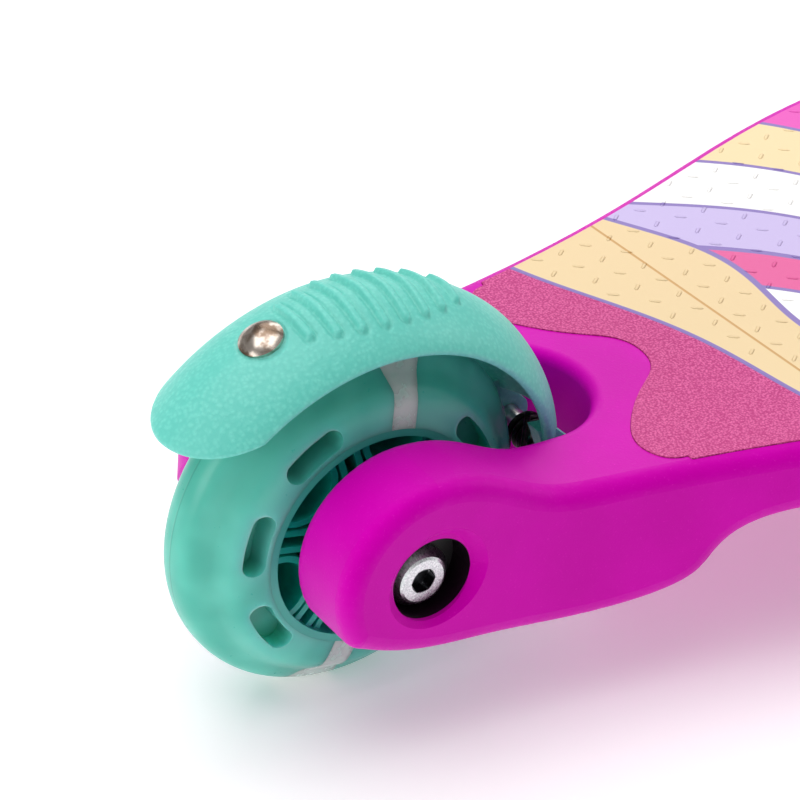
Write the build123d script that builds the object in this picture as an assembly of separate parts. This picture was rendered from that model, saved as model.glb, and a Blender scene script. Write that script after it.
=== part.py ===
from build123d import *
import math
import os

os.makedirs("parts", exist_ok=True)

# ---------------------------------------------------------------------------
# Three-wheeled lean-to-steer kick scooter for a child, in millimetres.
# +X is the riding direction, +Y the rider's left, +Z up, the ground is Z = 0.
# ---------------------------------------------------------------------------

# Stance
wheelbase = 455.0
rear_wheel_radius = 40.0
front_wheel_radius = 60.0
track_half = 115.0
tail_reach = 43.5                # from the rear axle back to the tip of the mudguard

overall_length = tail_reach + wheelbase + front_wheel_radius
rear_x = tail_reach - overall_length / 2
front_x = rear_x + wheelbase
rear_z = rear_wheel_radius
front_z = front_wheel_radius

# Clearances
running_gap = 0.05               # radial, between a shaft and what turns on it
slide_gap = 0.10                 # radial, between sliding tubes and pins
end_float = 0.15                 # axial, at the end of what turns
free_gap = 0.30                  # between faces that pass each other

# Rear wheel, its hub lip stands wider than its tread
rear_tread_half = 9.6
rear_lip_half = 13.2
rear_pocket_radius = 23.0
rear_slot_inner = 25.7
rear_slot_outer = 30.4

# Front wheels
front_tread_half = 11.5
front_lip_half = 13.6
front_pocket_radius = 40.0
front_slot_inner = 43.2
front_slot_outer = 48.6

# What the three wheels share
rim_wall = 1.7
slot_depth = 4.0
slot_half_angle = 14.5
wheel_divisions = 8
window_divisions = (2, 6)        # which of the eight places hold a clear window
window_half_width = 2.9
window_flare_from = 8.0          # depth below the tread where the window flares
window_mouth_half = 7.2
light_length = 13.0
light_width = 5.2
light_height = 2.6
light_depth = 7.0                # from the tread to the light's middle
rib_pairs = 6                    # the core's ribs stand in parallel pairs
rib_pair_half = 1.9
rib_thickness = 1.4
rib_turn = 192.0                 # where the first pair stands
scallop_radius = 8.2             # curved wall between two pairs of ribs
web_half = 1.6
hub_wall = 3.4

# Ball bearing
bearing_bore = 8.0
bearing_outside = 22.0
bearing_width = 7.0
bearing_setback = 0.7            # from the hub lip in to the bearing
shield_inner = 6.1
shield_outer = 9.4
shield_depth = 0.35

# Deck board and rear fork, heights above the rear axle
deck_top = 14.2
deck_edge_drop = 16.4            # board thickness at its edge
nose_setback = 38.0              # from the front axle back to the board's nose
deck_length = wheelbase - nose_setback
arm_half = 36.0
board_half = 76.0
board_half_x = 215.0
nose_half = 47.0
boss_rise = 3.0                  # the fork end's centre above the axle
boss_radius = 21.6
left_corner_radius = 12.0        # plan rounding of the left arm's outer corner
fork_hem_drop = 8.5              # lowest point of the fork end's back face
keel_drop = 18.2                 # lowest point of the fork arms
keel_x = 38.0
board_start_x = 88.0             # where the arms have become the board
board_edge_radius = 4.0
hem_radius = 4.5
well_half = 16.6
well_end_x = 57.6
well_edge_radius = 2.6
relief_depth = 4.5               # ribbed relief under the board
relief_margin = 6.5
relief_rib = 2.6
relief_pitch = 46.0

# Grip mat, let into the board
mat_depth = 1.2
mat_proud = 0.25
mat_margin = 3.6
mat_gap = 0.1
mat_notch_x = 74.0               # its edge on the centre line, in front of the well
mat_lobe_x = 52.6                # its two lobes beside the well
mat_lobe_half = 31.0

# Rear axle set
recess_radius = 9.1
recess_rise = 2.2                # the recess sits a little above the axle
recess_mouth_radius = 11.9       # its mouth is a shallow cone, set a little higher
recess_mouth_rise = 3.4
recess_mouth_depth = 2.7
recess_floor = 26.4              # half distance between the two recess floors
cup_thickness = 1.0
bush_radius = 6.0
axle_radius = bearing_bore / 2 - running_gap
axle_thread_radius = 3.0
head_radius = 6.7
head_height = 3.4
head_face_radius = 4.8
head_rim_height = 1.5
socket_flats = 5.0
socket_depth = 2.4

# Mudguard that is also the brake, angles from the rear horizontal over the top
guard_half = 15.5
guard_crown_radius = 50.4
guard_hem_radius = 42.0
guard_wall = 2.4
guard_roundness = 1.6            # exponent of its arched cross-section
guard_inner_drop = 2.0           # how far the inner form reaches below the hem
guard_front_gap = 1.0
guard_pivot_x = 47.0
guard_pivot_z = 2.0
pivot_pin_radius = 2.5
pivot_boss_radius = 5.0
pivot_boss_from = 8.2
pivot_boss_to = 12.0
pin_seat = 10.0
tail_round = 16.0                # length of the tail's rounded end, seen from above
flick_from = 84.0                # behind this angle the guard opens out towards the tail
flick_to = 34.0
flick_crown = 1.9
flick_hem = 1.7
guard_rib_count = 8
first_rib_angle = 73.9
rib_spacing = 6.0
rib_half_thickness = 1.0
rib_height = 0.8
rib_half_length = 9.9            # of the longest rib; their ends lie on an ellipse
rib_field_angle = 93.6
rib_field_half = 26.5
rivet_angle = 65.2
rivet_head_radius = 4.7
rivet_dome = 1.7
rivet_rim = 0.8                  # height of the head's edge
rivet_rise = 0.2                 # the head's edge over the guard's crown
rivet_tail = 0.4                 # what is formed over under the brake plate
rivet_shank_radius = 2.5
plate_seat_gap = 1.8
plate_thickness = 1.0
plate_half = 5.5
plate_from = 52.0
plate_to = 134.0
spring_wire = 1.3
spring_coil_gap = 0.35
spring_turns = 3
spring_pitch = 1.7
spring_upper_leg = 12.5
spring_lower_leg = 8.0

# Front head and truck, lean axis along X
lean_z = 66.0
lean_bolt_radius = 5.0
beam_half_x = 14.0
beam_half_z = 15.0
kingpin_y = 78.0
kingpin_radius = 4.0
ear_radius = 10.5
ear_thickness = 8.0
knuckle_half_height = 14.0
knuckle_radius = 9.6
steer_arm = 22.0                 # kingpin to tie rod, and lean axis to drive pin
arm_thickness = 6.0
link_pin_radius = 2.5
link_half_x = 5.0
link_half_z = 4.0
link_block_half_y = 11.0
link_block_half_z = 8.0
drive_pin_radius = 3.0
drive_slot_play = 1.2
steer_play = 0.8                 # extra length of the tie rod's end slots
stub_radius = 4.0
stub_boss_radius = 8.0
pad_radius = 8.0
pad_y = 27.0
head_half = 42.0
head_back = 74.0                 # from the front axle back to the head's rear end
head_nose = 26.0                 # from the front axle to the head's front face
head_wall = 9.0
roof_z = 92.0
head_crown_z = 108.0
cap_screw_y = 26.0
cap_screw_in = 16.0              # from the head's rear end forward
cap_screw_radius = 2.5
cap_screw_head = 4.5

# Stem and handlebar, along an axis that leans back
stem_lean = 8.0
stem_base_z = 100.0
stem_base_back = 4.0             # from the front axle back to the stem's foot
bar_tube_radius = 14.0
bar_tube_wall = 1.6
stem_wall = 1.9
stem_length = 332.0
socket_length = 46.0
socket_wall = 6.5
bar_tube_foot = 150.0
bar_tube_top = 578.0
handlebar_gap = 1.0
clamp_height = 26.0
clamp_wall = 5.0
clamp_split = 3.0
clamp_ear_reach = 15.0
clamp_ear_half = 6.5
clamp_bolt_radius = 2.5
lever_length = 30.0
lever_thickness = 6.0
lever_width = 16.0
handlebar_half = 128.0
handlebar_radius = 11.0
handlebar_wall = 1.8
grip_length = 90.0
grip_radius = 15.5
grip_flange_radius = 20.0
joint_half = 24.0
joint_wall = 4.2
button_radius = 6.0
button_height = 24.0
button_proud = 2.6
button_flange = 1.0
button_flange_back = 4.6
button_flange_thickness = 1.5


# ---------------------------------------------------------------------------
# Small makers
# ---------------------------------------------------------------------------
def rod_y(x, z, y_from, y_to, radius):
    """A round bar along Y."""
    middle = (y_from + y_to) / 2
    return Pos(x, middle, z) * Rot(90, 0, 0) * Cylinder(radius, abs(y_to - y_from))


def rod_x(y, z, x_from, x_to, radius):
    """A round bar along X."""
    middle = (x_from + x_to) / 2
    return Pos(middle, y, z) * Rot(0, 90, 0) * Cylinder(radius, abs(x_to - x_from))


def rod_z(x, y, z_from, z_to, radius):
    """A round bar along Z."""
    middle = (z_from + z_to) / 2
    return Pos(x, y, middle) * Cylinder(radius, abs(z_to - z_from))


def block(x_from, x_to, y_from, y_to, z_from, z_to):
    """A plain box between two corners."""
    centre = Pos((x_from + x_to) / 2, (y_from + y_to) / 2, (z_from + z_to) / 2)
    return centre * Box(x_to - x_from, y_to - y_from, z_to - z_from)


def turned(points):
    """A solid turned about Y from a closed outline of (radius, y) points."""
    outline = make_face(Polyline(*points, close=True))
    return revolve(outline, Axis.Y)


def side_plate(face, y_from, y_to):
    """A face drawn as (x, z), given thickness along Y."""
    return extrude(Plane.XZ.offset(-y_from) * face, amount=y_from - y_to)


def plan_plate(face, z_from, z_to):
    """A face drawn as (x, y), given thickness along Z."""
    return extrude(Pos(0, 0, z_from) * face, amount=z_to - z_from)


def both_sides(piece):
    """The piece and its mirror image across the middle plane."""
    return piece + mirror(piece, Plane.XZ)


def on_circle(radius, degrees):
    """A point (x, z) about the origin, from the rear horizontal over the top."""
    angle = math.radians(degrees)
    return (-radius * math.cos(angle), radius * math.sin(angle))


def write(pieces):
    """One STEP file for each named piece."""
    for name, piece in pieces.items():
        solids = piece.solids()
        shape = solids[0] if len(solids) == 1 else Compound(children=list(solids))
        shape.label = name
        export_step(shape, f"parts/{name}.step")


# ---------------------------------------------------------------------------
# Wheels: a moulded core, a cast tyre with two clear windows, lights, bearings
# ---------------------------------------------------------------------------
def wheel(radius, tread_half, lip_half, pocket_radius, slot_inner, slot_outer):
    """The pieces of one wheel, its axle along Y through the origin."""
    hub_radius = bearing_outside / 2 + hub_wall
    rim_radius = pocket_radius + rim_wall
    bearing_out = lip_half - bearing_setback
    bearing_in = bearing_out - bearing_width
    spacing = 360 / wheel_divisions
    slot_middle = (slot_inner + slot_outer) / 2
    slot_width = slot_outer - slot_inner

    # Core: hub, thin web, rim and ribs; the bearings sit against its inner step
    hub = rod_y(0, 0, -lip_half, lip_half, hub_radius)
    rim = rod_y(0, 0, -lip_half, lip_half, rim_radius)
    rim -= rod_y(0, 0, -lip_half, lip_half, pocket_radius)
    web = rod_y(0, 0, -web_half, web_half, rim_radius)
    core = hub + rim + web
    rib_top = lip_half - 2 * bearing_setback
    rib_reach = (hub_radius + pocket_radius) / 2
    rib_length = pocket_radius - hub_radius + rim_wall
    rib = Pos(rib_reach, 0, 0) * Box(rib_length, 2 * rib_top, rib_thickness)
    scallop = rod_y(pocket_radius, 0, -rib_top, rib_top, scallop_radius)
    scallop -= rod_y(pocket_radius, 0, -rib_top, rib_top, scallop_radius - rib_thickness)
    scallop = scallop & rod_y(0, 0, -rib_top, rib_top, rim_radius)
    for number in range(rib_pairs):
        pair_turn = Rot(0, rib_turn - number * 360 / rib_pairs, 0)
        for side in (-1, 1):
            core += pair_turn * Pos(0, 0, side * rib_pair_half) * rib
        core += Rot(0, 180 / rib_pairs, 0) * pair_turn * scallop
    core -= rod_y(0, 0, -lip_half, lip_half, bearing_outside / 2 - 1.5)
    for side in (-1, 1):
        core -= rod_y(0, 0, side * bearing_in, side * lip_half, bearing_outside / 2)

    # Tyre: flanks that draw in from the lip, then a full-round tread
    flank_radius = (rim_radius + radius) / 2
    flank = Spline(
        (rim_radius, lip_half),
        (flank_radius, tread_half + 0.25 * (lip_half - tread_half)),
        (radius - 0.55 * tread_half, tread_half * 0.80),
        (radius, 0),
        tangents=[(1, -0.25), (0, -1)],
    )
    far_flank = mirror(flank, Plane.XZ)
    seat = Line((rim_radius, lip_half), (rim_radius, -lip_half))
    whole_tyre = revolve(make_face([flank, far_flank, seat]), Axis.Y)
    pocket_floor = tread_half + 0.5 * (lip_half - tread_half) - slot_depth
    windows = None
    lights = None
    tyre = whole_tyre
    for number in range(wheel_divisions):
        degrees = 180 - (12 + number * spacing)
        if number in window_divisions:
            flare = radius - window_flare_from
            mouth = radius + 1
            wedge_face = make_face(Polyline(
                (0, -window_half_width), (flare, -window_half_width),
                (mouth, -window_mouth_half), (mouth, window_mouth_half),
                (flare, window_half_width), (0, window_half_width), close=True))
            turn = Rot(0, -degrees, 0)
            wedge = turn * side_plate(wedge_face, -2 * lip_half, 2 * lip_half)
            light_place = Pos(radius - light_depth, 0, 0)
            light = turn * light_place * Box(light_height, light_length, light_width)
            window = (whole_tyre & wedge) - light
            tyre -= wedge
            windows = window if windows is None else windows + window
            lights = light if lights is None else lights + light
        else:
            arc = CenterArc((0, 0), slot_middle, degrees - slot_half_angle + 5,
                            2 * slot_half_angle - 10)
            slot = side_plate(SlotArc(arc, slot_width), -2 * lip_half, -pocket_floor)
            tyre -= both_sides(slot)

    # Bearing, with its shields set in a little
    ring = turned([
        (bearing_bore / 2, -bearing_width / 2),
        (shield_inner, -bearing_width / 2),
        (shield_inner, -bearing_width / 2 + shield_depth),
        (shield_outer, -bearing_width / 2 + shield_depth),
        (shield_outer, -bearing_width / 2),
        (bearing_outside / 2, -bearing_width / 2),
        (bearing_outside / 2, bearing_width / 2),
        (shield_outer, bearing_width / 2),
        (shield_outer, bearing_width / 2 - shield_depth),
        (shield_inner, bearing_width / 2 - shield_depth),
        (shield_inner, bearing_width / 2),
        (bearing_bore / 2, bearing_width / 2),
    ])
    bearing_place = bearing_in + bearing_width / 2
    return {
        "core": core,
        "tyre": tyre,
        "windows": windows,
        "lights": lights,
        "bearing_left": Pos(0, bearing_place, 0) * ring,
        "bearing_right": Pos(0, -bearing_place, 0) * ring,
    }


def placed(pieces, prefix, location):
    """The wheel's pieces, named and moved to their axle."""
    return {f"{prefix}_{name}": location * piece for name, piece in pieces.items()}


rear_wheel = placed(
    wheel(rear_wheel_radius, rear_tread_half, rear_lip_half, rear_pocket_radius,
          rear_slot_inner, rear_slot_outer),
    "rear_wheel", Pos(rear_x, 0, rear_z))
front_pieces = wheel(front_wheel_radius, front_tread_half, front_lip_half,
                     front_pocket_radius, front_slot_inner, front_slot_outer)
left_wheel = placed(front_pieces, "left_wheel", Pos(front_x, track_half, front_z))
right_wheel = placed(front_pieces, "right_wheel", Pos(front_x, -track_half, front_z))


# ---------------------------------------------------------------------------
# Deck board with the rear fork, drawn about the rear axle
# ---------------------------------------------------------------------------
def deck_outline(inset, back, front):
    """Plan face of the board, inset from its sides, cut between two stations."""
    flare = board_half_x - board_start_x
    right = Spline(
        (-2 * boss_radius, -arm_half + inset),
        (15, -arm_half + inset),
        (well_end_x, -0.51 * arm_half - 0.30 * board_half + inset),
        (board_start_x + 0.15 * flare, -0.70 * board_half + inset),
        (board_start_x + 0.54 * flare, -0.905 * board_half + inset),
        (board_half_x, -board_half + inset),
        (0.5 * (board_half_x + deck_length) - 4, -0.5 * (board_half + nose_half) - 6.5 + inset),
        (deck_length + 20, -nose_half + 3 + inset),
        tangents=[(1, 0), (1, 0.12)],
    )
    left = mirror(right, Plane.XZ)
    start = Line(right @ 0, left @ 0)
    finish = Line(right @ 1, left @ 1)
    whole = make_face([right, finish, left, start])
    window = Pos((back + front) / 2, 0) * Rectangle(front - back, 4 * board_half)
    return whole & window


def fork_boss_face(radius):
    """The round end of a fork arm, seen from the side."""
    return Pos(0, boss_rise) * Circle(radius)


board_bottom = deck_top - deck_edge_drop
crest_x = 0.55 * boss_radius
hump = Spline(
    (0, boss_rise + boss_radius),
    (crest_x, boss_rise + 0.90 * boss_radius),
    (boss_radius, deck_top + 3.6),
    (2 * boss_radius + 4, deck_top),
    tangents=[(1, 0), (1, 0)],
)
back_low = Vector(-math.sqrt(boss_radius ** 2 - (boss_rise + fork_hem_drop) ** 2), -fork_hem_drop)
back_arc = ThreePointArc(
    (0, boss_rise + boss_radius),
    (-boss_radius, boss_rise),
    (back_low.X, back_low.Y),
)
keel = Spline(
    (back_low.X, back_low.Y),
    (0, -0.84 * keel_drop),
    (0.4 * keel_x, -0.92 * keel_drop),
    (keel_x, -keel_drop),
    (0.5 * (keel_x + board_start_x), 0.3 * board_bottom - 0.7 * keel_drop),
    (board_start_x, board_bottom),
    tangents=[(1, -0.60), (1, 0)],
)
underside = Line((board_start_x, board_bottom), (deck_length, board_bottom))
nose_line = Line((deck_length, board_bottom), (deck_length, deck_top))
top_line = Line((deck_length, deck_top), hump @ 1)
deck_side = make_face([back_arc, keel, underside, nose_line, top_line, hump])

deck = side_plate(deck_side, -2 * board_half, 2 * board_half)
deck = deck & plan_plate(deck_outline(0, -2 * boss_radius, deck_length), -2 * board_half, 2 * board_half)


def long_edges(solid, upper):
    """The board's long outer edges, above or below, on both sides."""
    chosen = []
    for edge in solid.edges():
        middle = edge @ 0.5
        box = edge.bounding_box()
        along = box.size.X > 20 and abs(middle.Y) > 0.8 * arm_half
        is_upper = middle.Z > 0.5 * (deck_top + board_bottom)
        if along and is_upper == upper:
            chosen.append(edge)
    return chosen


deck = fillet(long_edges(deck, True), board_edge_radius)
deck = fillet(long_edges(deck, False), hem_radius)

# Wheel well between the arms, open at the back
well_face = Pos((well_end_x - well_half) / 2 - boss_radius, 0) * Rectangle(
    well_end_x - well_half + 2 * boss_radius, 2 * well_half)
well_face += Pos(well_end_x - well_half, 0) * Circle(well_half)
deck -= plan_plate(well_face, -2 * board_half, 2 * board_half)

well_top = [edge for edge in deck.edges().filter_by_position(Axis.Z, deck_top - 0.1, boss_rise + boss_radius + 1)
            if abs((edge @ 0.5).Y) < well_half + 0.1 and abs((edge @ 0.2).Y) < well_half + 0.1]
deck = fillet(well_top, well_edge_radius)

# The left arm's outer corner is rounded in plan
corner_x = left_corner_radius - boss_radius
corner_y = arm_half - left_corner_radius
corner_cut = block(-2 * boss_radius, corner_x, corner_y, 2 * arm_half, -2 * boss_radius, 2 * boss_radius)
corner_cut -= rod_z(corner_x, corner_y, -2 * boss_radius, 2 * boss_radius, left_corner_radius)
deck -= corner_cut

# Recesses for the axle heads, and the bores for the axle and the mudguard's pin
mouth_slope = (recess_mouth_radius - recess_radius) / recess_mouth_depth
mouth = turned([
    (0, arm_half - recess_mouth_depth),
    (recess_radius, arm_half - recess_mouth_depth),
    (recess_mouth_radius + mouth_slope, arm_half + 1),
    (0, arm_half + 1),
])
deck -= both_sides(Pos(0, 0, recess_mouth_rise) * mouth)
deck -= both_sides(rod_y(0, recess_rise, recess_floor, 2 * arm_half, recess_radius))
deck -= rod_y(0, 0, -2 * arm_half, 2 * arm_half, bush_radius) & rod_y(
    0, 0, -recess_floor - 1, recess_floor + 1, bush_radius)
pin_half = well_half + pin_seat
deck -= rod_y(guard_pivot_x, guard_pivot_z, -pin_half, pin_half, pivot_pin_radius)

# Ribbed relief under the board, solid where the head's screws pass
screw_x = wheelbase - head_back + cap_screw_in
relief_back = board_start_x
relief_front = screw_x - 3 * cap_screw_head
relief_top = board_bottom + relief_depth
relief = plan_plate(deck_outline(relief_margin, relief_back, relief_front),
                    board_bottom - 1, relief_top)
rib_number = int((relief_front - relief_back) / relief_pitch)
for number in range(1, rib_number + 1):
    station = relief_back + number * (relief_front - relief_back) / (rib_number + 1)
    relief -= block(station - relief_rib / 2, station + relief_rib / 2,
                    -2 * board_half, 2 * board_half, board_bottom - 1, relief_top)
for spine in (-0.5, 0, 0.5):
    middle = spine * nose_half
    relief -= block(relief_back, relief_front, middle - relief_rib / 2, middle + relief_rib / 2,
                    board_bottom - 1, relief_top)
deck -= relief
for side in (-1, 1):
    deck -= rod_z(screw_x, side * cap_screw_y, board_bottom - 1, deck_top + 1, cap_screw_radius)

# Grip mat, set in a shallow recess; its back edge runs round the well in two lobes
mat_front = wheelbase - head_back - 4


def mat_outline(gap):
    """Plan face of the mat, drawn in by a gap from the edge of its recess."""
    half_lobe = Spline(
        (mat_notch_x + gap, 0),
        (mat_notch_x - 7.4 + gap, 10.9),
        (mat_notch_x - 17.3 + gap, 20.3),
        (mat_lobe_x + gap, mat_lobe_half - 2),
        (mat_lobe_x + 1.6 + gap, mat_lobe_half + 3.0),
        (mat_lobe_x + 6.5 + gap, arm_half + 0.6 - gap),
        tangents=[(0, 1), (1, 0.1)],
    )
    corner = half_lobe @ 1
    side = Line((corner.X, corner.Y), (mat_lobe_x + 30, 2 * board_half))
    front = Polyline((mat_lobe_x + 30, 2 * board_half), (mat_front - gap, 2 * board_half),
                     (mat_front - gap, 0))
    middle = Line((mat_front - gap, 0), (mat_notch_x + gap, 0))
    half = make_face([half_lobe, side, front, middle])
    whole = half + mirror(half, Plane.XZ)
    return whole & deck_outline(mat_margin + gap, 0, mat_front)


deck -= plan_plate(mat_outline(0), deck_top - mat_depth, deck_top + 2 * mat_depth)
mat = plan_plate(mat_outline(mat_gap), deck_top - mat_depth, deck_top + mat_proud)

# ---------------------------------------------------------------------------
# Rear axle: sleeve nut from the left, bolt from the right, a flanged bush each side
# ---------------------------------------------------------------------------
bearing_face = rear_lip_half - bearing_setback
head_seat = recess_floor + cup_thickness


def button_head(shank):
    """A low domed head with a hex socket, its seat at y = 0, facing -Y."""
    outline = [
        (0, 0), (head_radius, 0), (head_radius, -head_rim_height),
        (head_face_radius + 0.6, -head_height + 0.25), (head_face_radius, -head_height),
        (0, -head_height),
    ]
    head = turned(outline) + shank
    socket_face = RegularPolygon(socket_flats / 2, 6, major_radius=False)
    socket = Plane.XZ.offset(head_height) * socket_face
    return head - extrude(socket, amount=-socket_depth)


def bush():
    """Black flanged bush of the right arm, from the recess floor to the bearing."""
    flange = rod_y(0, recess_rise, -head_seat, -recess_floor, recess_radius)
    barrel = rod_y(0, 0, -recess_floor, -bearing_face - end_float, bush_radius)
    bore = rod_y(0, 0, -head_seat - 1, 0, axle_radius)
    return flange + barrel - bore


sleeve_end = head_seat - 5
sleeve_shank = rod_y(0, 0, 0, head_seat + sleeve_end, axle_radius)
sleeve = Pos(0, -head_seat, 0) * button_head(sleeve_shank)
thread_bore = rod_y(0, 0, -5, sleeve_end, axle_thread_radius)
axle_sleeve = mirror(sleeve - thread_bore, Plane.XZ)
bolt_shank = rod_y(0, 0, 0, head_seat + 4, axle_thread_radius)
bolt_collar = rod_y(0, 0, 0, head_seat - sleeve_end, axle_radius)
axle_bolt = Pos(0, -head_seat, 0) * button_head(bolt_shank + bolt_collar)
bush_right = bush()
bush_left = mirror(bush_right, Plane.XZ)
spacer_half = bearing_face - bearing_width - end_float
spacer = rod_y(0, 0, -spacer_half, spacer_half, shield_inner)
spacer -= rod_y(0, 0, -spacer_half, spacer_half, axle_radius)

# ---------------------------------------------------------------------------
# Mudguard and brake
# ---------------------------------------------------------------------------
guard_stations = (34, 44, 54, 64, 74, 84, 100, 120, 140, 160, 180)


def radial_plane(degrees):
    """The plane through the axle at an angle: x across the guard, y outward."""
    angle = math.radians(180 - degrees)
    return Plane(origin=(0, 0, 0), x_dir=(0, 1, 0), z_dir=(math.sin(angle), 0, -math.cos(angle)))


def guard_arch(degrees, grow, hem_drop):
    """One cross-section of the guard, a rounded arch closed across its hem."""
    flick = max(0, (flick_from - degrees) / (flick_from - flick_to)) ** 2
    crown = guard_crown_radius + flick_crown * flick
    hem = guard_hem_radius + flick_hem * flick - hem_drop
    half = guard_half + grow
    points = []
    for step in range(9):
        angle = math.radians(180 - 22.5 * step)
        across = math.copysign(abs(math.cos(angle)) ** (2 / guard_roundness), math.cos(angle))
        height = math.sin(angle) ** (2 / guard_roundness)
        points.append((half * across, hem + (crown + grow - hem) * height))
    arch = Spline(*points)
    hem_line = Line(arch @ 1, arch @ 0)
    return radial_plane(degrees) * make_face([arch, hem_line])


def guard_form(grow, hem_drop=0):
    """The solid under the guard's skin, grown outward or, if negative, inward."""
    return loft([guard_arch(angle, grow, hem_drop) for angle in guard_stations])


tail_plan = Pos(tail_round - tail_reach, 0) * Ellipse(tail_round, guard_half)
tail_plan += Pos(tail_round - tail_reach + 2 * guard_crown_radius, 0) * Rectangle(
    4 * guard_crown_radius, 3 * guard_half)
well_plan = Pos((well_end_x - well_half) / 2, 0) * Rectangle(
    well_end_x - well_half, 2 * (well_half - guard_front_gap))
well_plan += Pos(well_end_x - well_half, 0) * Circle(well_half - guard_front_gap)

guard = guard_form(0) - guard_form(-guard_wall, guard_inner_drop)
guard = guard & plan_plate(tail_plan, -guard_crown_radius, 2 * guard_crown_radius)
outside_well = block(0, 2 * well_end_x, -2 * guard_half, 2 * guard_half,
                     -guard_crown_radius, deck_top + guard_front_gap)
guard -= outside_well - plan_plate(well_plan, -guard_crown_radius, deck_top + 2 * guard_front_gap)
rib_skin = guard_form(rib_height)
for number in range(guard_rib_count):
    angle = first_rib_angle + number * rib_spacing
    share = (angle - rib_field_angle) / rib_field_half
    half_length = rib_half_length * math.sqrt(1 - share ** 2)
    slab_place = Rot(0, angle - 180, 0) * Pos(guard_crown_radius, 0, 0)
    slab = slab_place * Box(8, 2 * half_length, 2 * rib_half_thickness)
    guard += (rib_skin - guard_form(-guard_wall / 2)) & slab
spring_room = block(guard_pivot_x - 2 * pivot_boss_radius, well_end_x,
                    -pivot_boss_from, pivot_boss_from,
                    -guard_crown_radius, guard_pivot_z + 1.5 * pivot_boss_radius)
guard -= spring_room
for side in (-1, 1):
    guard += rod_y(guard_pivot_x, guard_pivot_z, side * pivot_boss_from, side * pivot_boss_to,
                   pivot_boss_radius)
guard -= rod_y(guard_pivot_x, guard_pivot_z, -guard_half - 1, guard_half + 1,
               pivot_pin_radius + running_gap)

plate_outer = guard_crown_radius - guard_wall - plate_seat_gap
plate_inner = plate_outer - plate_thickness
plate_face = make_face([
    CenterArc((0, 0), plate_outer, 180 - plate_to, plate_to - plate_from),
    CenterArc((0, 0), plate_inner, 180 - plate_to, plate_to - plate_from),
    Line(on_circle(plate_outer, plate_to), on_circle(plate_inner, plate_to)),
    Line(on_circle(plate_outer, plate_from), on_circle(plate_inner, plate_from)),
])
brake_plate = side_plate(plate_face, -plate_half, plate_half)

rivet_seat = guard_crown_radius + rivet_rise
rivet_foot = plate_inner - rivet_tail
dome_sphere = (rivet_head_radius ** 2 + rivet_dome ** 2) / (2 * rivet_dome)
dome = Pos(0, 0, rivet_seat + rivet_dome - dome_sphere) * Sphere(dome_sphere)
dome = dome & rod_z(0, 0, rivet_seat - rivet_rim, rivet_seat + 2 * rivet_dome, rivet_head_radius)
rivet = dome + rod_z(0, 0, rivet_foot, rivet_seat, rivet_shank_radius)
rivet = Rot(0, rivet_angle - 90, 0) * rivet
rivet_hole = Rot(0, rivet_angle - 90, 0) * rod_z(0, 0, 0, rivet_seat, rivet_shank_radius)
rivet_seat_cut = Rot(0, rivet_angle - 90, 0) * rod_z(
    0, 0, rivet_seat - rivet_rim, rivet_seat + 2 * rivet_dome, rivet_head_radius)
guard = guard - rivet_hole - rivet_seat_cut
brake_plate -= rivet_hole

pivot_pin = rod_y(guard_pivot_x, guard_pivot_z, -pin_half, pin_half, pivot_pin_radius)

coil_radius = pivot_pin_radius + spring_coil_gap + spring_wire / 2
coil_length = spring_turns * spring_pitch
coil_path = Helix(pitch=spring_pitch, height=coil_length, radius=coil_radius,
                  center=(0, coil_length / 2, 0), direction=(0, -1, 0))
coil_section = Plane(origin=coil_path @ 0, z_dir=coil_path % 0) * Circle(spring_wire / 2)
brake_spring = sweep(coil_section, path=coil_path)
for end, outward, length in ((0, -1, spring_upper_leg), (1, 1, spring_lower_leg)):
    leg_plane = Plane(origin=coil_path @ end, z_dir=(coil_path % end) * outward)
    brake_spring += leg_plane * Cylinder(
        spring_wire / 2, length, align=(Align.CENTER, Align.CENTER, Align.MIN))
brake_spring = mirror(Rot(0, -90, 0) * brake_spring, Plane.YZ)
brake_spring = Pos(guard_pivot_x, 0, guard_pivot_z) * brake_spring

rear_axle = Pos(rear_x, 0, rear_z)
rear_set = {
    "deck": deck,
    "deck_mat": mat,
    "rear_axle_bolt": axle_bolt,
    "rear_axle_sleeve": axle_sleeve,
    "rear_bush_left": bush_left,
    "rear_bush_right": bush_right,
    "rear_spacer": spacer,
    "brake_pivot_pin": pivot_pin,
    "brake_spring": brake_spring,
    "brake_guard": guard,
    "brake_plate": brake_plate,
    "brake_rivet": rivet,
}

# ---------------------------------------------------------------------------
# Front head: the moulded housing, drawn about the front axle's middle on the ground
# ---------------------------------------------------------------------------
deck_height = rear_z + deck_top
nose_x = deck_length - wheelbase
cavity_back = -steer_arm - link_half_x - 3
cavity_front = beam_half_x + 2
foot_z = rear_z + board_bottom
head_side = make_face([
    Spline((-head_back, deck_height), (-head_back + 12, deck_height + 9),
           (-0.5 * head_back, head_crown_z - 8), (-8, head_crown_z),
           tangents=[(0.3, 1), (1, 0)]),
    Spline((-8, head_crown_z), (0.75 * head_nose, head_crown_z - 11), (head_nose + 4, lean_z),
           (head_nose, foot_z), tangents=[(1, 0), (-0.2, -1)]),
    Polyline((head_nose, foot_z), (nose_x + free_gap, foot_z), (nose_x + free_gap, deck_height),
             (-head_back, deck_height)),
])
head_width = 2 * head_half
head_plan = Pos((head_nose - head_back) / 2 + 3, 0) * RectangleRounded(
    head_back + head_nose + 10, head_width, 0.55 * head_half)
head_front_face = Pos(0, (foot_z + head_crown_z) / 2) * RectangleRounded(
    head_width, head_crown_z - foot_z + 1, 0.38 * head_half)
head_front_face += Pos(0, foot_z + 10) * Rectangle(head_width, 22)
head_front = extrude(Plane.YZ.offset(-2 * head_back) * head_front_face, amount=4 * head_back)
head = side_plate(head_side, -head_width, head_width)
head = head & plan_plate(head_plan, 0, 2 * head_crown_z)
head = head & head_front

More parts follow.
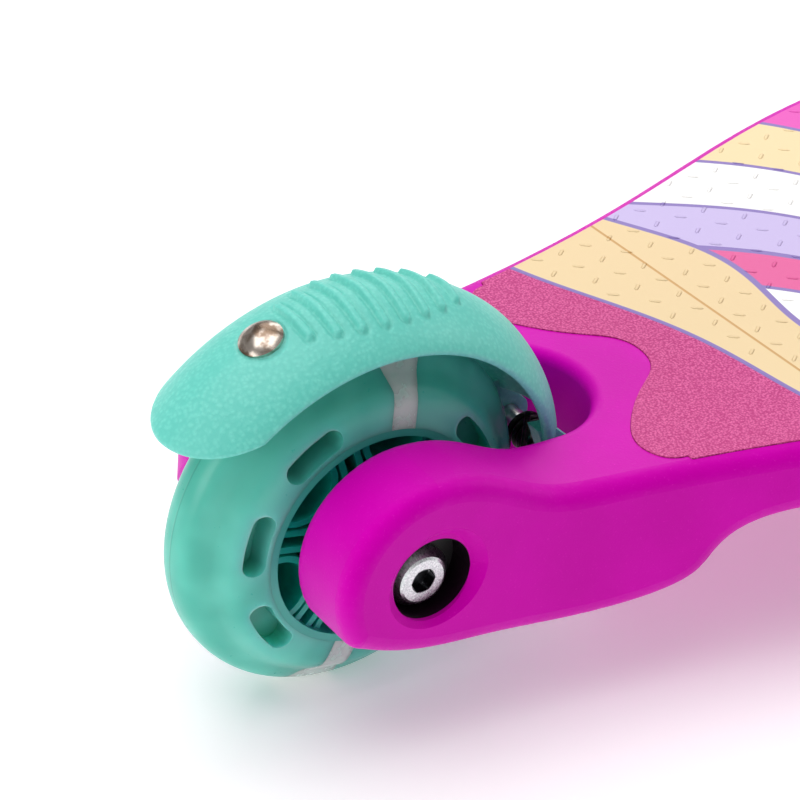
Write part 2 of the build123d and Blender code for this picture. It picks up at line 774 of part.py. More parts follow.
# The stem's socket leans back with the stem
stem_foot = Pos(-stem_base_back, 0, stem_base_z) * Rot(0, -stem_lean, 0)
bar_tube_clear = bar_tube_radius + slide_gap
stem_radius = bar_tube_clear + stem_wall
socket_radius = stem_radius + socket_wall
socket_collar = rod_z(0, 0, -4, socket_length, socket_radius)
socket_collar = chamfer(socket_collar.edges().group_by(Axis.Z)[-1], 2.0)
head += stem_foot * socket_collar

# Room for the truck's beam and the tie rod, open below and to both sides
opening_height = roof_z - foot_z + 20
opening_face = Pos((cavity_back + cavity_front) / 2, roof_z - opening_height / 2) * RectangleRounded(
    cavity_front - cavity_back, opening_height, 6)
head -= side_plate(opening_face, -head_width, head_width)
lean_boss_radius = lean_bolt_radius + 5
head += rod_x(0, lean_z, cavity_back, -beam_half_x - free_gap, lean_boss_radius)
head += rod_x(0, lean_z, beam_half_x + free_gap, cavity_front, lean_boss_radius)
head -= stem_foot * rod_z(0, 0, 0, 2 * socket_length, stem_radius)

# Hollow behind the rear wall, then the bores
hollow_front = cavity_back - 1.5 * head_wall
hollow_back = -head_back + 9
hollow_face = Pos((hollow_back + hollow_front) / 2, deck_height) * Rectangle(
    hollow_front - hollow_back, 2 * (lean_z + 9 - deck_height))
hollow_half = cap_screw_y - 2 * cap_screw_radius - 2
head -= side_plate(hollow_face, -hollow_half, hollow_half)
bolt_seat = head_nose - 2
nut_seat = hollow_front
nut_height = 8.0
bolt_head_radius = 1.7 * lean_bolt_radius
bolt_head_height = 4.5
head -= rod_x(0, lean_z, nut_seat - 1, 2 * head_nose, lean_bolt_radius)
head -= rod_x(0, lean_z, bolt_seat, 2 * head_nose, bolt_head_radius + 1)
head_screw_top = deck_height + 18
head_screw_x = cap_screw_in - head_back
for side in (-1, 1):
    head -= rod_z(head_screw_x, side * cap_screw_y, deck_height - 1, head_screw_top, cap_screw_radius)

drive_pin_z = lean_z - steer_arm
drive_pin_from = cavity_back - 0.8 * head_wall
drive_pin_to = -steer_arm + link_half_x + 1.5
head -= rod_x(0, drive_pin_z, drive_pin_from, cavity_back + 1, drive_pin_radius)
drive_pin = rod_x(0, drive_pin_z, drive_pin_from, drive_pin_to, drive_pin_radius)

# The button that locks the stem, through the socket's front and the stem tube
button_bore = Pos(0, 0, button_height) * Rot(0, 90, 0) * Cylinder(
    button_radius + slide_gap, 2 * socket_radius, align=(Align.CENTER, Align.CENTER, Align.MIN))
head -= stem_foot * button_bore
button = Pos(bar_tube_clear - button_flange_back + button_flange_thickness, 0, button_height)
button_length = socket_radius + button_proud - bar_tube_clear + button_flange_back - button_flange_thickness
button = button * Rot(0, 90, 0) * Cylinder(
    button_radius, button_length, align=(Align.CENTER, Align.CENTER, Align.MIN))
button = fillet(button.edges().group_by(Axis.X)[-1], 1.5)
button_foot = Pos(bar_tube_clear - button_flange_back, 0, button_height)
button += button_foot * Rot(0, 90, 0) * Cylinder(
    button_radius + button_flange, button_flange_thickness,
    align=(Align.CENTER, Align.CENTER, Align.MIN))

# Lean bolt with a button head, and its nut
lean_bolt = rod_x(0, lean_z, nut_seat - nut_height, bolt_seat, lean_bolt_radius)
bolt_head = rod_x(0, lean_z, bolt_seat, bolt_seat + bolt_head_height, bolt_head_radius)
bolt_head = fillet(bolt_head.edges().group_by(Axis.X)[-1], 2.0)
hex_key = Plane.YZ.offset(bolt_seat + bolt_head_height) * Pos(0, lean_z) * RegularPolygon(
    3.0, 6, major_radius=False)
lean_bolt = lean_bolt + bolt_head - extrude(hex_key, amount=-2.5)
nut_face = Plane.YZ.offset(nut_seat - nut_height) * Pos(0, lean_z) * RegularPolygon(
    1.7 * lean_bolt_radius, 6, major_radius=False)
lean_nut = extrude(nut_face, amount=nut_height)
lean_nut -= rod_x(0, lean_z, -2 * head_back, 0, lean_bolt_radius)


def head_screw(side):
    """Pan-head screw from under the board up into the head."""
    y = side * cap_screw_y
    shank = rod_z(head_screw_x, y, foot_z, head_screw_top - 1, cap_screw_radius)
    pan = rod_z(head_screw_x, y, foot_z - 2.4, foot_z, cap_screw_head)
    pan = chamfer(pan.edges().group_by(Axis.Z)[0], 0.8)
    slot = RegularPolygon(1.5, 6, major_radius=False)
    recess = extrude(Pos(head_screw_x, y, foot_z - 2.4) * slot, amount=1.6)
    return shank + pan - recess


# ---------------------------------------------------------------------------
# Truck: beam, kingpins, return pads, knuckles, tie rod, front axle bolts
# ---------------------------------------------------------------------------
beam_low = lean_z - beam_half_z
beam_high = lean_z + beam_half_z
ear_low = front_z - knuckle_half_height - free_gap - ear_thickness
ear_high = front_z + knuckle_half_height + free_gap + ear_thickness
web_out = kingpin_y - knuckle_radius - free_gap - 1
web_in = web_out - 9
beam_half_front = make_face(Polyline(
    (0, beam_high), (web_in - 8, beam_high), (web_in, ear_high), (web_out, ear_high),
    (web_out, ear_low), (web_in, ear_low), (0.6 * web_in, beam_low), (0, beam_low), close=True))
beam = extrude(Plane.YZ.offset(-beam_half_x) * beam_half_front, amount=2 * beam_half_x)
taper = Polyline((0, -beam_half_x), (0.45 * web_in, -beam_half_x), (web_in, -ear_radius),
                 (kingpin_y, -ear_radius), (kingpin_y, ear_radius), (web_in, ear_radius),
                 (0.45 * web_in, beam_half_x), (0, beam_half_x), close=True)
taper_face = Plane(origin=(0, 0, 0), x_dir=(0, 1, 0), z_dir=(0, 0, -1)) * make_face(taper)
beam = beam & extrude(taper_face, amount=2 * head_crown_z, both=True)
for low, high in ((ear_low, ear_low + ear_thickness), (ear_high - ear_thickness, ear_high)):
    beam += rod_z(0, kingpin_y, low, high, ear_radius)
    beam += block(-ear_radius, ear_radius, web_in, kingpin_y, low, high)
beam = both_sides(beam)
beam -= rod_x(0, lean_z, -2 * beam_half_x, 2 * beam_half_x, lean_bolt_radius + running_gap)
kingpins = {}
for side_name, side in (("left", 1), ("right", -1)):
    y = side * kingpin_y
    beam -= rod_z(0, y, ear_low + 1.5, ear_high + 1, kingpin_radius)
    pin = rod_z(0, y, ear_low + 1.5, ear_high, kingpin_radius)
    pin += rod_z(0, y, ear_high, ear_high + 2.2, 1.5 * kingpin_radius)
    pin = fillet(pin.edges().group_by(Axis.Z)[-1], 1.2)
    kingpins[f"kingpin_{side_name}"] = pin

pad_height = roof_z - beam_high - free_gap
pad_waist = pad_radius - 1.6
pad_profile = []
pad_bands = 3
band = pad_height / (2 * pad_bands - 1)
for number in range(2 * pad_bands - 1):
    radius = pad_radius if number % 2 == 0 else pad_waist
    pad_profile.append((radius, number * band))
    pad_profile.append((radius, (number + 1) * band))
pad_outline = Polyline((0, 0), *pad_profile, (0, pad_height), close=True)
pad = revolve(Plane.XZ * make_face(pad_outline), Axis.Z)

axle_inner_face = track_half - (front_lip_half - bearing_setback) - end_float
axle_outer_face = track_half + (front_lip_half - bearing_setback) + end_float
arm_low = drive_pin_z + link_half_z + free_gap
arm_high = arm_low + arm_thickness
stub_shoulder = axle_inner_face - 4

# Left knuckle, the right one is its mirror image
knuckle = rod_z(0, kingpin_y, front_z - knuckle_half_height, front_z + knuckle_half_height,
                knuckle_radius)
knuckle += rod_y(0, front_z, kingpin_y, stub_shoulder, stub_boss_radius)
knuckle += rod_y(0, front_z, stub_shoulder, axle_inner_face, shield_inner)
knuckle += block(-steer_arm, 0, kingpin_y - 5, kingpin_y + 5, arm_low, arm_high)
knuckle += rod_z(-steer_arm, kingpin_y, arm_low, arm_high, 6)
knuckle += rod_z(-steer_arm, kingpin_y, drive_pin_z - link_half_z - 0.5, arm_low, link_pin_radius)
knuckle -= rod_z(0, kingpin_y, 0, 2 * front_z, kingpin_radius + running_gap)
stub_end = kingpin_y + kingpin_radius + 2.5
knuckle -= rod_y(0, front_z, stub_end, 2 * track_half, stub_radius - running_gap)

front_bolt = rod_y(0, front_z, stub_end, axle_outer_face, stub_radius - running_gap)
front_bolt += rod_y(0, front_z, axle_outer_face, axle_outer_face + 1, shield_inner)
front_head = rod_y(0, front_z, axle_outer_face + 1, axle_outer_face + 4.6, head_radius)
front_head = fillet(front_head.edges().group_by(Axis.Y)[-1], 1.2)
front_key = Plane.XZ.offset(-(axle_outer_face + 4.6)) * Pos(0, front_z) * RegularPolygon(
    socket_flats / 2, 6, major_radius=False)
front_bolt = front_bolt + front_head - extrude(front_key, amount=socket_depth)

tie_rod = block(-steer_arm - link_half_x, -steer_arm + link_half_x, -kingpin_y, kingpin_y,
                drive_pin_z - link_half_z, drive_pin_z + link_half_z)
tie_rod += block(-steer_arm - link_half_x, -steer_arm + link_half_x,
                 -link_block_half_y, link_block_half_y,
                 drive_pin_z - link_block_half_z, drive_pin_z + link_block_half_z)
slot_half = drive_pin_radius + slide_gap
end_half = link_pin_radius + slide_gap
for side in (-1, 1):
    y = side * kingpin_y
    tie_rod += rod_z(-steer_arm, y, drive_pin_z - link_half_z, drive_pin_z + link_half_z, 6.2)
    slot_place = Pos(-steer_arm, y, drive_pin_z)
    tie_rod -= slot_place * extrude(SlotOverall(2 * (end_half + steer_play), 2 * end_half),
                                    amount=3 * link_half_z, both=True)
drive_slot = Plane.YZ * Pos(0, drive_pin_z) * SlotOverall(
    2 * (slot_half + drive_slot_play), 2 * slot_half, rotation=90)
tie_rod -= extrude(drive_slot, amount=2 * steer_arm, both=True)

# ---------------------------------------------------------------------------
# Stem and handlebar, drawn upright on the stem's foot, then leaned back with it
# ---------------------------------------------------------------------------
clamp_low = stem_length - clamp_height
split = block(-2 * socket_radius, 0, -clamp_split / 2, clamp_split / 2, clamp_low - 8, 2 * stem_length)
stem_tube = rod_z(0, 0, 0, stem_length, stem_radius)
stem_tube -= rod_z(0, 0, 0, stem_length, bar_tube_clear)
stem_tube -= split
stem_tube -= button_bore

clamp_radius = stem_radius + clamp_wall
clamp_bolt_x = -clamp_radius - 0.45 * clamp_ear_reach
clamp_middle = stem_length - clamp_height / 2
ear_outer = clamp_split / 2 + clamp_ear_half
clamp = rod_z(0, 0, clamp_low, stem_length, clamp_radius)
clamp += block(-clamp_radius - clamp_ear_reach + 2, 0, -ear_outer, ear_outer, clamp_low + 2, stem_length - 2)
clamp = fillet(clamp.edges().filter_by(Axis.Z).group_by(Axis.X)[0], 4.0)
clamp += rod_z(0, 0, stem_length, stem_length + 2.5, stem_radius + 1.5)
clamp -= rod_z(0, 0, clamp_low - 1, stem_length, stem_radius)
clamp -= rod_z(0, 0, stem_length - 1, stem_length + 5, bar_tube_clear + 0.2)
clamp -= split
clamp -= rod_y(clamp_bolt_x, clamp_middle, -2 * ear_outer, 2 * ear_outer, clamp_bolt_radius)

cam_radius = 7.0
cam_y = ear_outer + cam_radius + free_gap
cam_pin_radius = 3.2
clamp_bolt = rod_y(clamp_bolt_x, clamp_middle, -ear_outer - 5, cam_y, clamp_bolt_radius)
clamp_bolt += rod_z(clamp_bolt_x, cam_y, clamp_middle - lever_width / 2, clamp_middle + lever_width / 2,
                    cam_pin_radius)
clamp_nut_face = Plane.XZ.offset(ear_outer) * Pos(clamp_bolt_x, clamp_middle) * RegularPolygon(
    4.5, 6, major_radius=False)
clamp_nut = extrude(clamp_nut_face, amount=5)
clamp_nut -= rod_y(clamp_bolt_x, clamp_middle, -3 * ear_outer, 0, clamp_bolt_radius)

# Lever: a cam eye on the bolt's cross pin, and a blade curved round the clamp
lever_inside = clamp_radius + 2 * free_gap
lever_outside = lever_inside + lever_thickness
lever_root = 146.0
lever_tip = lever_root - math.degrees(lever_length / lever_inside)
blade = make_face([
    CenterArc((0, 0), lever_inside, lever_tip, lever_root - lever_tip),
    CenterArc((0, 0), lever_outside - 1.5, lever_tip, lever_root - lever_tip),
    Line(Vector(lever_inside, 0).rotate(Axis.Z, lever_tip),
         Vector(lever_outside - 1.5, 0).rotate(Axis.Z, lever_tip)),
    Line(Vector(lever_inside, 0).rotate(Axis.Z, lever_root),
         Vector(lever_outside - 1.5, 0).rotate(Axis.Z, lever_root)),
])
blade_tip = Pos(Vector(lever_inside + 0.5 * lever_thickness, 0).rotate(Axis.Z, lever_tip)) * Circle(
    0.5 * lever_thickness)
lever_eye = Pos(clamp_bolt_x, cam_y) * Circle(cam_radius)
lever = extrude(blade + blade_tip + lever_eye, amount=lever_width / 2, both=True)
lever -= Pos(clamp_bolt_x, cam_y, 0) * block(
    -2 * cam_radius, cam_pin_radius + 2.5, -2 * cam_radius, cam_radius - 2,
    -clamp_bolt_radius - 0.4, clamp_bolt_radius + 0.4)
lever -= rod_z(clamp_bolt_x, cam_y, -lever_width, lever_width, cam_pin_radius + running_gap)
lever = Pos(0, 0, clamp_middle) * lever

handlebar_z = bar_tube_top + handlebar_radius + handlebar_gap
bar_tube = rod_z(0, 0, bar_tube_foot, bar_tube_top, bar_tube_radius)
bar_tube -= rod_z(0, 0, bar_tube_foot, bar_tube_top, bar_tube_radius - bar_tube_wall)
handlebar = rod_y(0, handlebar_z, -handlebar_half, handlebar_half, handlebar_radius)
handlebar -= rod_y(0, handlebar_z, -handlebar_half, handlebar_half, handlebar_radius - handlebar_wall)
joint_foot = bar_tube_top - 24
bar_joint = rod_y(0, handlebar_z, -joint_half, joint_half, handlebar_radius + joint_wall)
bar_joint = fillet(bar_joint.edges(), 2.0)
bar_joint += rod_z(0, 0, joint_foot, handlebar_z, bar_tube_radius + joint_wall)
bar_joint -= rod_y(0, handlebar_z, -handlebar_half, handlebar_half, handlebar_radius)
bar_joint -= rod_z(0, 0, 0, bar_tube_top, bar_tube_radius)

grip_inner = handlebar_half - grip_length
grip_end = handlebar_half + 4
grip_profile = [
    (0, grip_end), (0.75 * grip_flange_radius, grip_end), (grip_flange_radius - 1, grip_end - 3),
    (grip_flange_radius - 1, grip_end - 7), (grip_radius, grip_end - 11)]
groove_pitch = 6.0
groove_count = int((grip_length - 24) / groove_pitch)
for number in range(groove_count):
    start = grip_end - 14 - number * groove_pitch
    grip_profile += [(grip_radius, start), (grip_radius - 1.0, start - 1.2),
                     (grip_radius - 1.0, start - 2.4), (grip_radius, start - 3.6)]
grip_profile += [(grip_radius, grip_inner + 6), (grip_flange_radius, grip_inner + 4),
                 (grip_flange_radius, grip_inner), (handlebar_radius, grip_inner),
                 (handlebar_radius, handlebar_half), (0, handlebar_half)]
grip_left = Pos(0, 0, handlebar_z) * turned(grip_profile)
grip_right = mirror(grip_left, Plane.XZ)

front_axle = Pos(front_x, 0, 0)
stem_place = front_axle * stem_foot
front_set = {
    "head_housing": head,
    "lean_bolt": lean_bolt,
    "lean_nut": lean_nut,
    "drive_pin": drive_pin,
    "head_screw_left": head_screw(1),
    "head_screw_right": head_screw(-1),
    "truck_beam": beam,
    "return_pad_left": Pos(0, pad_y, beam_high) * pad,
    "return_pad_right": Pos(0, -pad_y, beam_high) * pad,
    "knuckle_left": knuckle,
    "knuckle_right": mirror(knuckle, Plane.XZ),
    "front_bolt_left": front_bolt,
    "front_bolt_right": mirror(front_bolt, Plane.XZ),
    "tie_rod": tie_rod,
}
front_set.update(kingpins)
stem_set = {
    "stem_tube": stem_tube,
    "stem_button": button,
    "clamp_collar": clamp,
    "clamp_bolt": clamp_bolt,
    "clamp_nut": clamp_nut,
    "clamp_lever": lever,
    "bar_tube": bar_tube,
    "handlebar": handlebar,
    "bar_joint": bar_joint,
    "grip_left": grip_left,
    "grip_right": grip_right,
}

write({name: rear_axle * piece for name, piece in rear_set.items()})
write({name: front_axle * piece for name, piece in front_set.items()})
write({name: stem_place * piece for name, piece in stem_set.items()})
for pieces in (rear_wheel, left_wheel, right_wheel):
    write(pieces)
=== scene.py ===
import math

import bmesh
import bpy
from mathutils import Matrix, Vector
from mathutils.bvhtree import BVHTree


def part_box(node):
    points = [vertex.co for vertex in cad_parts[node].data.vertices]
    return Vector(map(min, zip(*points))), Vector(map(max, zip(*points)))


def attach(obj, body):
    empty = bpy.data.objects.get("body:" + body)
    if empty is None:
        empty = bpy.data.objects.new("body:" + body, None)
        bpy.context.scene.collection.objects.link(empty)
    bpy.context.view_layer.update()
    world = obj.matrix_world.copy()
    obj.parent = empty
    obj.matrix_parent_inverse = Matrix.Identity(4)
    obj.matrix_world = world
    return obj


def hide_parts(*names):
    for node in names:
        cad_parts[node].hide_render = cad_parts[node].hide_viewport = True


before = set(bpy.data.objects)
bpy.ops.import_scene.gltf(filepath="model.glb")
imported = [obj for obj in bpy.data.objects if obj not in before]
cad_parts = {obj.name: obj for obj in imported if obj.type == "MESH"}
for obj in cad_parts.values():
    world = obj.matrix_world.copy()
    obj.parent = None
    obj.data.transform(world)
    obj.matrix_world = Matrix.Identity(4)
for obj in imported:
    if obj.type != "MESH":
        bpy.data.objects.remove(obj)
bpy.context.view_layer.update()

# ---------------------------------------------------------------------------
# Camera: a long lens low over the rear wheel, from behind and to the right,
# tilted a few degrees, so the mudguard and the fork end fill the view.
# ---------------------------------------------------------------------------
tyre_low, tyre_high = (Vector(corner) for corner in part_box("rear_wheel_tyre"))
rear_axle = (tyre_low + tyre_high) / 2

camera_heading = math.radians(35.77)
camera_drop = math.radians(33.28)
camera_roll = math.radians(4.24)
camera_distance = 0.9054
camera_aim = rear_axle + Vector((0.0132, 0, 0.0208))

look = Vector((math.sin(camera_heading) * math.cos(camera_drop),
               math.cos(camera_heading) * math.cos(camera_drop),
               -math.sin(camera_drop)))
level_right = look.cross(Vector((0, 0, 1))).normalized()
level_up = level_right.cross(look)
camera_right = level_right * math.cos(camera_roll) + level_up * math.sin(camera_roll)
camera_up = camera_right.cross(look)
camera_data = bpy.data.cameras.new("camera")
camera_data.sensor_width = 36
camera_data.lens = 202.5
camera_data.clip_start = 0.05
camera = bpy.data.objects.new("camera", camera_data)
turn = Matrix((camera_right, camera_up, -look)).transposed().to_4x4()
camera.matrix_world = Matrix.Translation(camera_aim - look * camera_distance) @ turn
bpy.context.collection.objects.link(camera)
bpy.context.scene.camera = camera


# ---------------------------------------------------------------------------
# Studio: a pale matt floor that glows faintly, under broad soft lights from
# above and three sides, with an even white surround, shown in true colours.
# Its class and helper also make every finish: maths on sockets is Python.
# ---------------------------------------------------------------------------
class Wire:
    """A socket of a finish; arithmetic on it adds Math nodes."""

    def __init__(self, finish, socket):
        self.finish = finish
        self.socket = socket

    def maths(self, operation, *others):
        values = dict(enumerate((self,) + others))
        return self.finish.add("Math", {"operation": operation}, values)

    def swapped(self, operation, other):
        return self.finish.add("Math", {"operation": operation}, {0: other, 1: self})

    def __add__(self, other):
        return self.maths("ADD", other)

    def __radd__(self, other):
        return self.maths("ADD", other)

    def __sub__(self, other):
        return self.maths("SUBTRACT", other)

    def __rsub__(self, other):
        return self.swapped("SUBTRACT", other)

    def __mul__(self, other):
        return self.maths("MULTIPLY", other)

    def __rmul__(self, other):
        return self.maths("MULTIPLY", other)

    def __truediv__(self, other):
        return self.maths("DIVIDE", other)

    def __pow__(self, other):
        return self.maths("POWER", other)

    def __abs__(self):
        return self.maths("ABSOLUTE")

    def sine(self):
        return self.maths("SINE")

    def step(self, start, end):
        """0 before start, 1 after end, smooth between them; runs down if end is the smaller."""
        low, high = min(start, end), max(start, end)
        rise = self.finish.add("MapRange", {"interpolation_type": "SMOOTHSTEP"},
                               {"Value": self, "From Min": low, "From Max": high})
        return rise if end > start else 1 - rise


def paint(code):
    """A linear colour from a six-figure colour code."""
    channels = []
    for place in (0, 2, 4):
        value = int(code[place:place + 2], 16) / 255
        channels.append(value / 12.92 if value <= 0.04045 else ((value + 0.055) / 1.055) ** 2.4)
    return (*channels, 1.0)


class Finish:
    """A material on one Principled shader."""

    def __init__(self, name, **constants):
        self.material = bpy.data.materials.new(name)
        self.material.use_nodes = True
        self.tree = self.material.node_tree
        self.tree.nodes.clear()
        self.shader = self.tree.nodes.new("ShaderNodeBsdfPrincipled")
        output = self.tree.nodes.new("ShaderNodeOutputMaterial")
        self.tree.links.new(self.shader.outputs[0], output.inputs["Surface"])
        for socket, value in constants.items():
            self.shader.inputs[socket.replace("_", " ")].default_value = value

    def add(self, kind, settings=None, inputs=None, take=0):
        """A node by its type, its settings first, then the values or wires of its sockets."""
        node = self.tree.nodes.new("ShaderNode" + kind)
        for name, value in (settings or {}).items():
            if name == "stops":
                while len(node.color_ramp.elements) < len(value):
                    node.color_ramp.elements.new(0.5)
                for element, (position, colour) in zip(node.color_ramp.elements, value):
                    element.position = position
                    element.color = colour
            else:
                setattr(node, name, value)
        for key, value in (inputs or {}).items():
            if isinstance(value, Wire):
                self.tree.links.new(value.socket, node.inputs[key])
            else:
                node.inputs[key].default_value = value
        return Wire(self, node.outputs[take])

    def place(self, stretch=(1, 1, 1)):
        """Where a point lies on the piece, in millimetres times a stretch."""
        spot = self.add("TexCoord", take="Object")
        scale = tuple(1000 * amount for amount in stretch)
        return self.add("VectorMath", {"operation": "MULTIPLY"}, {0: spot, 1: scale})

    def parts(self, vector):
        """The x, y and z of a vector."""
        split = self.add("SeparateXYZ", inputs={0: vector})
        node = split.socket.node
        return [Wire(self, socket) for socket in node.outputs]

    def cloud(self, size, detail=2.0, stretch=(1, 1, 1), roughness=0.5):
        """Soft noise from 0 to 1 whose lumps are about this many millimetres."""
        return self.add("TexNoise", inputs={"Vector": self.place(stretch), "Scale": 1 / size,
                                            "Detail": detail, "Roughness": roughness})

    def mix(self, factor, first, second):
        """A colour between two, by a factor."""
        return self.add("Mix", {"data_type": "RGBA"}, {0: factor, 6: first, 7: second}, take=2)

    def feed(self, **sockets):
        for name, value in sockets.items():
            target = self.shader.inputs[name.replace("_", " ")]
            self.tree.links.new(value.socket, target)

    def bump(self, height, depth, strength=1.0, under=None):
        """A surface raised by depth millimetres where height is 1."""
        inputs = {"Height": height, "Distance": depth / 1000, "Strength": strength}
        if under is not None:
            inputs["Normal"] = under
        return self.add("Bump", inputs=inputs)

    def dress(self, *nodes):
        """Puts the finish on CAD nodes."""
        for node in nodes:
            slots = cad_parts[node].material_slots
            for slot in slots:
                slot.material = self.material


floor_reach = 3.0
floor_mesh = bpy.data.meshes.new("floor")
floor_mesh.from_pydata([(-floor_reach, -floor_reach, 0), (floor_reach, -floor_reach, 0),
                        (floor_reach, floor_reach, 0), (-floor_reach, floor_reach, 0)],
                       [], [(0, 1, 2, 3)])
floor = bpy.data.objects.new("floor", floor_mesh)
bpy.context.collection.objects.link(floor)
floor_finish = Finish("studio_floor", Base_Color=paint("FCFCFC"), Roughness=0.95,
                      Specular_IOR_Level=0.1, Emission_Color=paint("FFFFFF"),
                      Emission_Strength=0.24)
floor_mesh.materials.append(floor_finish.material)

surround = bpy.data.worlds.new("surround")
surround.use_nodes = True
surround.node_tree.nodes["Background"].inputs[0].default_value = (1, 1, 1, 1)
surround.node_tree.nodes["Background"].inputs[1].default_value = 0.28
bpy.context.scene.world = surround
bpy.context.scene.view_settings.view_transform = "Standard"


def panel_light(name, aim, offset, size, power):
    """A soft square light that faces a point."""
    data = bpy.data.lights.new(name, "AREA")
    data.size = size
    data.energy = power
    lamp = bpy.data.objects.new(name, data)
    lamp.location = aim + Vector(offset)
    lamp.rotation_euler = (-Vector(offset)).to_track_quat("-Z", "Y").to_euler()
    bpy.context.collection.objects.link(lamp)


panel_light("overhead", rear_axle, (-0.25, 0.30, 1.5), 1.7, 19)
panel_light("left_fill", rear_axle, (-1.4, -0.1, 0.35), 0.8, 5)
panel_light("back_sheen", rear_axle, (0.95, 1.3, 1.05), 1.3, 9)
panel_light("front_fill", rear_axle, (1.4, -0.25, 0.9), 0.8, 5)

# ---------------------------------------------------------------------------
# Mudguard: one thin moulded shell of mint polypropylene, which a foot presses
# onto the tyre, with eight grip ribs on its crown and two ears for the hinge pin.
# Sizes are millimetres from the rear axle, and angles rise from the rear.
# ---------------------------------------------------------------------------
guard_half = 15.5
guard_wall = 2.4
guard_crown = 50.4
guard_hem = 42.0
guard_roundness = 1.6
flick_from = 84.0
flick_to = 34.0
flick_crown = 2.2
flick_hem = 1.7
tail_tip = 33.2
tail_corner = 50.5
tail_fullness = 2.1
tail_rounding = 0.55
shell_end = 169.0
well_round_x = 41.0
well_round_radius = 15.6
hinge_x, hinge_z = 47.0, 2.0
rib_angles = [73.9 + 6.0 * number for number in range(8)]
rib_field_angle, rib_field_half = 93.6, 26.5
rib_height = 0.9
rib_half_length = 9.9
rib_end = 1.2
rib_top_half, rib_foot_half = 0.5, 1.1
foot_groove_reach, foot_groove_half, foot_groove_depth = 1.4, 0.4, 0.28
rivet_angle = 65.2
rivet_groove_radius, rivet_groove_half, rivet_groove_depth = 4.85, 0.45, 0.5
arch_steps = 90
hem_run = 6.5
tail_run = 30.0
ribbed_from, ribbed_to, ribbed_step = 58.4, 120.2, 0.3
across_spacing, tail_spacing, front_spacing = 0.62, 0.9, 1.1
close_points = 4
tail_join = 0.96
weld_distance = 2e-6


def by_axle(x, y, z):
    """A point given in millimetres from the middle of the rear axle."""
    return rear_axle + Vector((x, y, z)) / 1000


def mesh_piece(name, points, faces, body, finish, smooth=True):
    """A new piece from points in the row frame, which rides on a body."""
    data = bpy.data.meshes.new(name)
    data.from_pydata([tuple(point) for point in points], [], faces)
    shaped = bmesh.new()
    shaped.from_mesh(data)
    bmesh.ops.recalc_face_normals(shaped, faces=shaped.faces)
    shaped.to_mesh(data)
    shaped.free()
    data.polygons.foreach_set("use_smooth", [smooth] * len(data.polygons))
    data.materials.append(finish.material)
    piece = bpy.data.objects.new(name, data)
    bpy.context.collection.objects.link(piece)
    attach(piece, body)
    return piece


def guard_section(angle):
    """Middle line of the shell's arch at an angle: points (across, outward)."""
    flick = max(0.0, (flick_from - angle) / (flick_from - flick_to)) ** 2
    crown = guard_crown + flick_crown * flick - guard_wall / 2
    hem = guard_hem + flick_hem * flick
    half = guard_half
    past_round = -crown * math.cos(math.radians(angle)) - well_round_x
    if past_round > 0:
        half = min(half, math.sqrt(well_round_radius ** 2 - past_round ** 2))
    half -= guard_wall / 2
    line = []
    for step in range(arch_steps + 1):
        turn = math.pi * step / arch_steps
        reach = -math.copysign(abs(math.cos(turn)) ** (2 / guard_roundness), math.cos(turn))
        rise = abs(math.sin(turn)) ** (2 / guard_roundness)
        line.append((half * reach, hem + (crown - hem) * rise))
    return line


def along(line, share):
    """The point at a share of a line's length."""
    lengths = [math.dist(a, b) for a, b in zip(line, line[1:])]
    left = share * sum(lengths)
    for a, b, length in zip(line, line[1:], lengths):
        if left <= length:
            part = left / length
            return (a[0] + part * (b[0] - a[0]), a[1] + part * (b[1] - a[1]))
        left -= length
    return line[-1]


def rounded_shares(length, edge, spacing):
    """Shares from 0 to 1 along a strip, close together within edge of both ends."""
    turns = [math.pi / 2 * step / close_points for step in range(close_points)]
    close = [edge * (1 - math.cos(turn)) for turn in turns]
    count = max(2, round((length - 2 * edge) / spacing))
    middle = [edge + (length - 2 * edge) * step / count for step in range(count + 1)]
    far = [length - distance for distance in reversed(close)]
    return [distance / length for distance in close + middle + far]


def smooth_step(value, start, end):
    """0 before start, 1 after end, smooth between them."""
    share = min(1.0, max(0.0, (value - start) / (end - start)))
    return share * share * (3 - 2 * share)


def shell_thickness(distance):
    """Half thickness of the shell at a distance from its rounded rim."""
    edge = guard_wall / 2
    inside = max(0.0, 1 - distance / edge)
    return edge * math.sqrt(max(0.0, 1 - inside * inside))


def guard_relief(angle, across):
    """Height of the ribs, less the fine grooves round their feet and round the rivet."""
    height = 0.0
    for rib in rib_angles:
        off = abs(angle - rib) * math.radians(1) * guard_crown
        if off < foot_groove_reach + foot_groove_half:
            share = (rib - rib_field_angle) / rib_field_half
            half_length = rib_half_length * math.sqrt(1 - share * share)
            overrun = max(0.0, abs(across) - half_length + rib_end)
            reach = math.hypot(off, overrun)
            groove = max(0.0, 1 - abs(reach - foot_groove_reach) / foot_groove_half)
            height = rib_height * (1 - smooth_step(reach, rib_top_half, rib_foot_half))
            height -= foot_groove_depth * groove
    from_rivet = math.hypot((angle - rivet_angle) * math.radians(1) * guard_crown, across)
    groove = max(0.0, 1 - abs(from_rivet - rivet_groove_radius) / rivet_groove_half)
    return height - rivet_groove_depth * groove


def tail_angle(share):
    """Angle at which the tail's rounded edge cuts the shell, at a share across it."""
    from_crown = abs(2 * share - 1)
    fall = (1 - from_crown ** tail_fullness) ** tail_rounding
    return tail_tip + (tail_corner - tail_tip) * (1 - fall)


